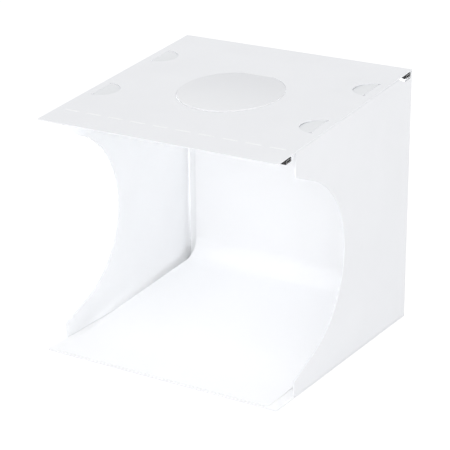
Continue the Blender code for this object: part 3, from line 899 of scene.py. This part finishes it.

# %% Its matt finish and its cut edges
DROP_WHITE = plastic("backdrop_matt", (0.955, 0.96, 0.975), 0.75, cloud=(6.0, 0.01), grain=(3500.0, 0.00002))
DROP_EDGE = plastic("backdrop_edge", (0.955, 0.96, 0.97), 0.7, grain=(4000.0, 0.00002))
SIDE_FACING, LEVEL_FACING = 0.9, 0.3
painted(backdrop, DROP_WHITE, DROP_EDGE)
for polygon in backdrop.data.polygons:
    side_on = abs(polygon.normal.x) > SIDE_FACING
    end_on = polygon.center.y < TIP.y + DROP_SHEET and abs(polygon.normal.z) < LEVEL_FACING
    polygon.material_index = int(side_on or end_on or polygon.center.z > DROP[1].z - DROP_RIM / 2)
crisp(backdrop, 40)
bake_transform(backdrop)
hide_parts("backdrop_sheet")
print("backdrop finished")

# %% [markdown]
# ## Hook and loop strips
#
# Two pairs of strips hold the backdrop to the back wall. The hook half is a plastic tape with rows of tiny
# stems that end in a flat head, and the loop half is a tape full of little rings of yarn. One stem and one
# ring are modelled with very few faces, and two Array modifiers repeat them over the tape.

# %% Finishes for the strips
HOOK_PLASTIC = plastic("hook_plastic", (0.86, 0.86, 0.87), 0.4, grain=(5000.0, 0.00001))
YARN_TONES = 0.72, 0.86
STRAND_SCALE = 1400.0
FIBRE_SCALE, FIBRE_DEPTH = 5200.0, 0.00008


def make_yarn_finish():
    made, tree, shader = new_finish("loop_yarn", Roughness=0.95, Sheen_Weight=0.3)
    where = object_place(tree)
    tone = remap(tree, noise(tree, where, STRAND_SCALE, detail=4.0), *NOISE_RANGE, *YARN_TONES)
    shade = node(tree, "CombineColor", Red=tone, Green=tone, Blue=tone)
    fibres = noise(tree, where, FIBRE_SCALE, detail=3.0)
    bump = node(tree, "Bump", Strength=0.8, Distance=FIBRE_DEPTH, Height=fibres)
    fill(tree, shader, Base_Color=shade.outputs["Color"], Normal=bump.outputs["Normal"])
    return made


LOOP_YARN = make_yarn_finish()
print("strip finishes:", HOOK_PLASTIC.name, LOOP_YARN.name)

# %% One stem, one ring, and the four strips
TAPE_BODY = 0.35 * MM
TAPE_RIM = 0.08 * MM
STEM_PITCH = 1.7 * MM
RING_PITCH = STEM_PITCH / 1.2
STEM_RADIUS = 0.16 * MM
HEAD_RADIUS = 0.34 * MM
HEAD_TAPER = 0.6
RING_RADIUS = 0.36 * MM
RING_TURN = 0.5
YARN_RADIUS = 0.09 * MM
FACING = 0.9


def one_stem(height):
    """A six-sided stem that stands along -Y, with a flat head."""
    stem = settle_in(added("stem", bpy.ops.mesh.primitive_cylinder_add, vertices=6, radius=STEM_RADIUS,
                           depth=height, location=(0, -height / 2, 0), rotation=(math.pi / 2, 0, 0)))
    edit(stem)
    pick(stem, lambda middle, normal: normal.y < -FACING)
    extrude((0, 0, 0))
    bpy.ops.transform.resize(value=[HEAD_RADIUS / STEM_RADIUS] * 3)
    extrude((0, -STEM_RADIUS / 2, 0))
    bpy.ops.transform.resize(value=[HEAD_TAPER] * 3)
    done()
    return stem


def one_ring():
    """A small ring of yarn, half of it sunk in the tape."""
    return settle_in(added("ring", bpy.ops.mesh.primitive_torus_add, major_segments=8, minor_segments=4,
                           major_radius=RING_RADIUS, minor_radius=YARN_RADIUS, rotation=(0, 0, RING_TURN)))


def planted(low, high, seed_piece, pitch, seat_y):
    """A piece repeated in rows over a tape."""
    along, up = (int((high[i] - low[i] - pitch) / pitch) + 1 for i in (0, 2))
    for count, direction in ((along, X), (up, Z)):
        apply_modifier(seed_piece, "ARRAY", count=count, use_relative_offset=False, use_constant_offset=True,
                       constant_offset_displace=direction * pitch)
    middle = (low + high) / 2
    first = Vector((middle.x - (along - 1) * pitch / 2, seat_y, middle.z - (up - 1) * pitch / 2))
    return settle_in(seed_piece, Matrix.Translation(first))


def strip_piece(node_name, name, toward, seed_piece, pitch, finish, angle):
    """A tape, thinned on the side it grips with, its stems or rings, and what it stands for."""
    low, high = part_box(node_name)
    tape = copy_of(node_name, "tape")
    edit(tape)
    pick(tape, lambda middle, normal: normal.dot(toward) > FACING)
    bpy.ops.transform.translate(value=-toward * (high.y - low.y - TAPE_BODY))
    done()
    seat_y = high.y - TAPE_BODY if toward.y < 0 else low.y + TAPE_BODY
    strip = joined(name, [rounded(tape, TAPE_RIM), planted(low, high, seed_piece, pitch, seat_y)])
    hand_over(smooth(painted(strip, finish), angle), "back", "hook_and_loop", node_name)
    return strip


for name in SIDES:
    low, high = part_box(f"{name}_hook_strip")
    stem = one_stem(high.y - low.y - TAPE_BODY - STEM_RADIUS)
    hooks = strip_piece(f"{name}_hook_strip", f"{name}_hooks", -Y, stem, STEM_PITCH, HOOK_PLASTIC, 40)
    loops = strip_piece(f"{name}_loop_strip", f"{name}_loops", Y, one_ring(), RING_PITCH, LOOP_YARN, 60)
    print(f"{name} strips:", len(hooks.data.polygons), "and", len(loops.data.polygons), "faces")

# %% [markdown]
# ## The light bars: finishes
#
# A light bar is a thin aluminium channel, lacquered white, with a row of light chips in it, closed by a
# milky plastic lens and by moulded caps, white and black, with a fine even grain. The power inlet's shell is
# bent from steel strip, with the fine lines of the rolls along it, and its contacts are gilded. A chip is a
# white frame round a yellow pad of phosphor.

# %% Drawn metal, lacquer, moulded plastic and the small finishes
LINE_STRETCH = (0.02, 1, 1)
LINE_UNEVEN = 0.08


def make_drawn_lines_group():
    tree, given, out = new_group("drawn lines", {"Line Size": 3000.0, "Roughness": 0.35, "Depth": 0.00001},
                                 {"Roughness": "Float", "Normal": "Vector"})
    lines = noise(tree, stretched(tree, object_place(tree), LINE_STRETCH), given["Line Size"])
    fill(tree, out, **grained(tree, lines, given["Roughness"], LINE_UNEVEN, given["Depth"]))
    return tree


DRAWN_LINES = make_drawn_lines_group()


def drawn_metal(name, colour, roughness, line_size, depth):
    made, tree, shader = new_finish(name, Base_Color=(*colour, 1), Metallic=1.0)
    group = node(tree, "Group", node_tree=DRAWN_LINES, Line_Size=line_size, Roughness=roughness, Depth=depth)
    fill(tree, shader, Roughness=group.outputs["Roughness"], Normal=group.outputs["Normal"])
    return made


LACQUER = plastic("channel_lacquer", (0.88, 0.885, 0.9), 0.38, cloud=(40.0, 0.02), grain=(1800.0, 0.00001))
SHELL_STEEL = drawn_metal("inlet_steel", (0.76, 0.76, 0.77), 0.22, 5200.0, 0.000004)
CONTACT_GOLD = drawn_metal("contact_gold", (0.83, 0.62, 0.28), 0.25, 6000.0, 0.000004)
WHITE_MOULDED = plastic("white_moulded", (0.86, 0.87, 0.89), 0.42, cloud=(60.0, 0.02),
                        grain=(3200.0, 0.00003))
BLACK_MOULDED = plastic("black_moulded", (0.014, 0.014, 0.016), 0.45, cloud=(120.0, 0.15),
                        grain=(2600.0, 0.00004))
FOAM = plastic("foam_tape", (0.5, 0.51, 0.53), 0.9, cloud=(900.0, 0.25), grain=(1500.0, 0.0002))
MASK_WHITE = plastic("board_mask", (0.86, 0.87, 0.86), 0.35, cloud=(80.0, 0.03), grain=(6000.0, 0.00001))
CHIP_FRAME = plastic("chip_frame", (0.88, 0.88, 0.87), 0.4, grain=(9000.0, 0.00001))
PHOSPHOR = plastic("chip_phosphor", (0.85, 0.72, 0.2), 0.5, cloud=(2500.0, 0.15), grain=(14000.0, 0.00001))
SOLDER = plastic("solder", (0.6, 0.61, 0.62), 0.3, cloud=(2000.0, 0.2), grain=(5000.0, 0.00002), Metallic=1.0)
LENS_MILKY = plastic("milky_lens", (0.9, 0.91, 0.93), 0.35, cloud=(40.0, 0.02), grain=(3000.0, 0.00002),
                     Transmission_Weight=0.25)
print("bar finishes ready")

# %% [markdown]
# ## The light bars: pieces
#
# The channel and the lens are long pieces with one section, so each is a ring that is extruded along the
# bar. The caps keep the outline of their solids, which already hold the plug and the pocket of the power
# inlet, and get rounded moulded edges. All of it is drawn in the bar's own frame and laid under the roof at
# the end.

# %% Sections of the channel and the lens
CHANNEL_WALL = 0.8 * MM
EDGE_ROUND = 0.4 * MM
GROOVE_WIDTH, GROOVE_DEPTH = 0.3 * MM, 0.12 * MM
GROOVES_AT = (0.36, 0.62)
LENS_PLATE = 0.8 * MM
LENS_ROUND = 0.5 * MM
LENS_LIP = 0.6 * MM
FIT = 0.2 * MM


def quarter(corner, inward, radius, steps=4):
    """A rounded corner of a section, from its upright side to its level side."""
    (y, z), (to_y, to_z) = corner, inward
    turns = [i / steps * math.pi / 2 for i in range(steps + 1)]
    return [(y + to_y * radius * (1 - math.cos(a)), z + to_z * radius * (1 - math.sin(a))) for a in turns]


def mirrored(right):
    """The other half of a section that is the same on both sides."""
    return [(-y, z) for y, z in right[::-1]]


def channel_section(half, bottom, top):
    """One side of the outside with two drawn grooves, its mirror image, then the inside."""
    flank = [(half, bottom)]
    for share in GROOVES_AT:
        z = bottom + (top - bottom) * share
        flank += [(half, z - GROOVE_WIDTH / 2), (half - GROOVE_DEPTH, z - GROOVE_WIDTH / 4),
                  (half - GROOVE_DEPTH, z + GROOVE_WIDTH / 4), (half, z + GROOVE_WIDTH / 2)]
    flank += quarter((half, top), (-1, -1), EDGE_ROUND)
    inside = [(half - CHANNEL_WALL, top - CHANNEL_WALL), (half - CHANNEL_WALL, bottom)]
    return flank + mirrored(flank) + mirrored(inside) + inside


def lens_section(half, bottom, top):
    """A plate with two rounded lower edges and two lips that hold it in the channel."""
    plate_top = bottom + LENS_PLATE
    lip_out = half - CHANNEL_WALL - FIT
    lip_in = lip_out - LENS_LIP
    right = [(lip_in, plate_top), (lip_in, top), (lip_out, top), (lip_out, plate_top), (half, plate_top)]
    right += quarter((half, bottom), (-1, 1), LENS_ROUND)
    return right + mirrored(right)


print("section sizes:", CHANNEL_WALL / MM, "mm wall")

# %% The circuit board with its chips, resistors and pads
CHIPS = 24
CHIP_SIZE = Vector((3.5, 2.8, 0.6)) * MM
CHIP_EDGE = 0.1 * MM
CHIP_RIM = 0.35 * MM
CHIP_BOWL = 0.12 * MM
BOARD_PLATE = 0.8 * MM
RESISTOR = Vector((1.6, 0.8, 0.45)) * MM
RESISTOR_EDGE = 0.06 * MM
RESISTOR_END = Vector((0.12, 0.53, 0.53))
RESISTOR_END_AT = 0.4
RESISTOR_Y_SHARE = 0.62
RESISTOR_DROP = RESISTOR.z / 2.4
PAD = Vector((1.6, 1.6, 0.24)) * MM
PAD_EDGE = PAD.z * 0.4
PAD_INSET = 1.2 * MM
PAD_APART = 3 * MM


def light_chip():
    """One chip: a framed block with a shallow bowl of phosphor in its underside."""
    chip = rounded(block("chip", -CHIP_SIZE / 2, CHIP_SIZE / 2), CHIP_EDGE, segments=1)
    edit(painted(chip, CHIP_FRAME, PHOSPHOR))
    pick(chip, lambda middle, normal: normal.z < -FACING)
    bpy.ops.mesh.inset(thickness=CHIP_RIM)
    extrude((0, 0, CHIP_BOWL))
    chip.active_material_index = 1
    bpy.ops.object.material_slot_assign()
    done()
    return chip


def copies(obj, places):
    """The object at the first place and copies with their own meshes at the others, joined."""
    made = [obj]
    for place in places[1:]:
        hold(obj)
        bpy.ops.object.duplicate()
        made.append(bpy.context.object)
    for piece, place in zip(made, places):
        piece.location = place
        settle_in(piece)
    return joined(obj.name, made)


def resistor():
    """A chip resistor: dark in the middle, with a tinned end on each side."""
    body = painted(block("resistor", -RESISTOR / 2, RESISTOR / 2), BLACK_MOULDED)
    grow = RESISTOR * RESISTOR_END
    ends = []
    for side in SIDES.values():
        middle = X * side * RESISTOR.x * RESISTOR_END_AT
        ends.append(painted(block("resistor_end", middle - grow, middle + grow), SOLDER))
    return rounded(joined("resistor", [body, *ends]), RESISTOR_EDGE, segments=1)


def board_piece(end, frame_of_bar):
    """The circuit board with its chips, resistors and end pads."""
    low, high = local_box(f"{end}_light_board", frame_of_bar)
    plate_low = high.z - BOARD_PLATE
    plate = painted(rounded(block("plate", (low.x, low.y, plate_low), high), CHIP_EDGE), MASK_WHITE)
    pitch = (high.x - low.x) / CHIPS
    under = low.z + CHIP_SIZE.z / 2
    chips = copies(light_chip(), [(low.x + pitch * (i + 0.5), 0, under) for i in range(CHIPS)])
    beside = high.y * RESISTOR_Y_SHARE, plate_low - RESISTOR_DROP
    resistors = copies(resistor(), [(low.x + pitch * (i + 2), *beside) for i in range(0, CHIPS, 3)])
    pads = []
    for x in (low.x + PAD_INSET, high.x - PAD_INSET):
        for y in (-PAD_APART / 2, PAD_APART / 2):
            middle = Vector((x, y, plate_low))
            pad = rounded(block("pad", middle - PAD / 2, middle + PAD / 2), PAD_EDGE)
            pads.append(painted(pad, SOLDER))
    return joined(f"{end}_light_strip", [plate, chips, resistors, *pads])


print("board of", CHIPS, "chips ready")

# %% Build both bars
FOAM_RIM = CAP_RIM = 0.12 * MM
SHELL_RIM = 0.06 * MM
CONTACT_PITCH = 0.75 * MM
CONTACT_HALF = 0.22 * MM
CONTACT_SHORTER = 1.4 * MM
CONTACT_LOW, CONTACT_HIGH = -0.36 * MM, -0.25 * MM
CONTACT_RIM = 0.04 * MM
MOULDED = [("left_cap", "left_end_cap", CAP_RIM, WHITE_MOULDED, "white_cap"),
           ("right_cap", "right_end_cap", CAP_RIM, BLACK_MOULDED, "black_cap"),
           ("inlet_shell", "inlet_shell", SHELL_RIM, SHELL_STEEL, "inlet_steel")]

for end, body in (("front", "flap"), ("rear", "roof")):
    low, high = local_box(f"{end}_light_channel", ROOF)
    bar = ROOF @ Matrix.Translation((0, (low.y + high.y) / 2, 0))
    channel_low, channel_high = local_box(f"{end}_light_channel", bar)
    run = X * (channel_high.x - channel_low.x)
    for name, node_name, section_of, finish, slot in (
            ("housing", "channel", channel_section, LACQUER, "bar_channel"),
            ("lens", "diffuser", lens_section, LENS_MILKY, "diffuser")):
        low, high = local_box(f"{end}_light_{node_name}", bar)
        section = [Vector((low.x, y, z)) for y, z in section_of(channel_high.y, low.z, high.z)]
        piece = painted(extruded(f"{end}_light_{name}", section, run), finish)
        hand_over(crisp(settle_in(piece, bar), 40), body, slot, f"{end}_light_{node_name}")

    strip = board_piece(end, bar)
    hand_over(smooth(settle_in(strip, bar), 30), body, "light_board", f"{end}_light_board")

    tape = rounded(block(f"{end}_light_foam", *local_box(f"{end}_light_tape", bar)), FOAM_RIM)
    hand_over(crisp(settle_in(painted(tape, FOAM), bar)), body, "foam_tape", f"{end}_light_tape")

    for node_name, name, rim, finish, slot in MOULDED:
        piece = rounded(copy_of(f"{end}_light_{node_name}", f"{end}_{name}"), rim, angle=50)
        hand_over(crisp(painted(piece, finish), 40), body, slot, f"{end}_light_{node_name}")

    low, high = local_box(f"{end}_light_inlet_shell", bar)
    middle = (low + high) / 2
    gold = []
    for i in range(-2, 3):
        y = middle.y + i * CONTACT_PITCH
        contact = block("contact", (low.x, y - CONTACT_HALF, middle.z + CONTACT_LOW),
                        (high.x - CONTACT_SHORTER, y + CONTACT_HALF, middle.z + CONTACT_HIGH))
        gold.append(rounded(contact, CONTACT_RIM))
    contacts = painted(joined(f"{end}_inlet_contacts", gold), CONTACT_GOLD)
    hand_over(settle_in(contacts, bar), body, "inlet_steel")
    print(f"{end} bar: strip {len(strip.data.polygons)} faces")

# %% [markdown]
# ## Sky, floor and lamps
#
# A white product picture is lit from all sides, so that no shadow is hard. The sky gives most of the light,
# a little more of it from near the horizon, so that upright walls don't look darker than the roof. The floor
# is a plain pale sheet that goes on past the frame. To the camera, both show as clean white with only a
# trace of the shadow, which is done by looking at the kind of ray and never by adding light on the object.

# %% The sky
HORIZON_LEVEL = 1.0
ZENITH_LEVEL = 0.88
WHITE = (1, 1, 1, 1)
bpy.context.scene.view_settings.view_transform = "Standard"
world = bpy.data.worlds.new("studio_sky")
bpy.context.scene.world = world
world.use_nodes = True
sky = world.node_tree
sky.nodes.clear()


def clean_rays(tree):
    """1 for the rays that should see plain white, and 0 for those that light the object."""
    path = tree.nodes.new("ShaderNodeLightPath").outputs
    shiny = maths(tree, "MAXIMUM", path["Is Glossy Ray"], path["Is Transmission Ray"])
    return maths(tree, "MAXIMUM", path["Is Camera Ray"], shiny)


def either(tree, share, first, second):
    """The second shader for a share of the light, and the first for the rest."""
    made = node(tree, "MixShader", Fac=share)
    tree.links.new(first.outputs[0], made.inputs[1])
    tree.links.new(second.outputs[0], made.inputs[2])
    return made.outputs["Shader"]


direction = node(sky, "SeparateXYZ", Vector=node(sky, "TexCoord").outputs["Generated"])
level = remap(sky, direction.outputs["Z"], 0.0, 1.0, HORIZON_LEVEL, ZENITH_LEVEL)
plain = node(sky, "Background", Color=WHITE, Strength=level)
clean = node(sky, "Background", Color=WHITE, Strength=1.0)
node(sky, "OutputWorld", Surface=either(sky, clean_rays(sky), plain, clean))
print("sky:", HORIZON_LEVEL, "at the horizon,", ZENITH_LEVEL, "above")

# %% The floor
FLOOR_SIZE = 12
FLOOR_DROP = 0.2 * MM
FLOOR_GLOW = 1.12
SHADOW_SHARE = 0.2
floor = added("floor", bpy.ops.mesh.primitive_plane_add, size=FLOOR_SIZE, location=(0, 0, -FLOOR_DROP))
finish, tree, shader = new_finish("floor_white", Base_Color=(0.9, 0.9, 0.9, 1), Roughness=0.9)
glow = node(tree, "Emission", Color=WHITE, Strength=FLOOR_GLOW)
share = maths(tree, "MULTIPLY", clean_rays(tree), 1 - SHADOW_SHARE)
fill(tree, tree.nodes["Material Output"], Surface=either(tree, share, shader, glow))
painted(floor, finish)
print("floor:", FLOOR_SIZE, "m wide")

# %% [markdown]
# ## Lamps
#
# One large soft lamp stands in front, to the right of the camera, and reaches into the open side. Two long,
# dim lamps under the light bars lift the inside to the same plain level as the outside. They ride with the
# roof and its flap, as the bars do. Real backdrop sheet lets some light through into the hollow behind it.
# Thin, very dim lamps in that hollow, two under the sheet and two behind its fall, stand for that light, so
# that the narrow gaps beside the backdrop don't turn black.

# %% A soft lamp in front, two under the bars and four behind the backdrop
FRONT_PLACE = (0.85, -1.4, 0.25)
FRONT_SIZE = 1.2
FRONT_POWER = 6.4
BAR_LAMP_POWER = 0.064
BAR_LAMP_DROP = 1.5 * MM


def soft_lamp(name, size, power, length=None):
    lamp = added(name, bpy.ops.object.light_add, type="AREA")
    lamp.data.energy = power
    lamp.data.size = length or size
    if length:
        lamp.data.shape = "RECTANGLE"
        lamp.data.size_y = size
    lamp.visible_camera = False
    return lamp


front_lamp = soft_lamp("front_lamp", FRONT_SIZE, FRONT_POWER)
front_lamp.location = FRONT_PLACE
sight = (CAD_BOX[0] + CAD_BOX[1]) / 2 - Vector(FRONT_PLACE)
front_lamp.rotation_euler = sight.to_track_quat("-Z", "Y").to_euler()
for end in ("front", "rear"):
    low, high = local_box(f"{end}_light_diffuser", ROOF)
    under = soft_lamp(f"{end}_bar_lamp", high.y - low.y, BAR_LAMP_POWER, high.x - low.x)
    place = (low.x + high.x) / 2, (low.y + high.y) / 2, low.z - BAR_LAMP_DROP
    under.matrix_world = ROOF @ Matrix.Translation(place)
    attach(under, "flap" if end == "front" else "roof")

# %% The lamps in the hollow
HOLLOW_FLOOR_INSET, HOLLOW_WALL_INSET = 22 * MM, 40 * MM
HOLLOW_FLOOR = 0.005, 2 * MM, -56 * MM, 114 * MM
HOLLOW_WALL = 0.013, 1.6 * MM, 35 * MM, 190 * MM
HOLLOW_RISE = 2.2 * MM
for name, side in SIDES.items():
    outward = Matrix.Rotation(-side * math.pi / 2, 3, "Y")
    power, thick, low, high = HOLLOW_FLOOR
    lamp = soft_lamp(f"{name}_floor_hollow_lamp", thick, power, high - low)
    lamp.location = (side * (RIGHT - HOLLOW_FLOOR_INSET), (low + high) / 2, SHEET + HOLLOW_RISE)
    lamp.rotation_euler = (outward @ Matrix.Rotation(math.pi / 2, 3, "Z")).to_euler()
    power, thick, low, high = HOLLOW_WALL
    lamp = soft_lamp(f"{name}_wall_hollow_lamp", thick, power, high - low)
    lamp.location = (side * (RIGHT - HOLLOW_WALL_INSET), (FALL_Y + REAR - SHEET) / 2, (low + high) / 2)
    lamp.rotation_euler = outward.to_euler()
    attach(lamp, "back")
print("lamps:", FRONT_POWER, "W in front,", BAR_LAMP_POWER, "W under each bar")
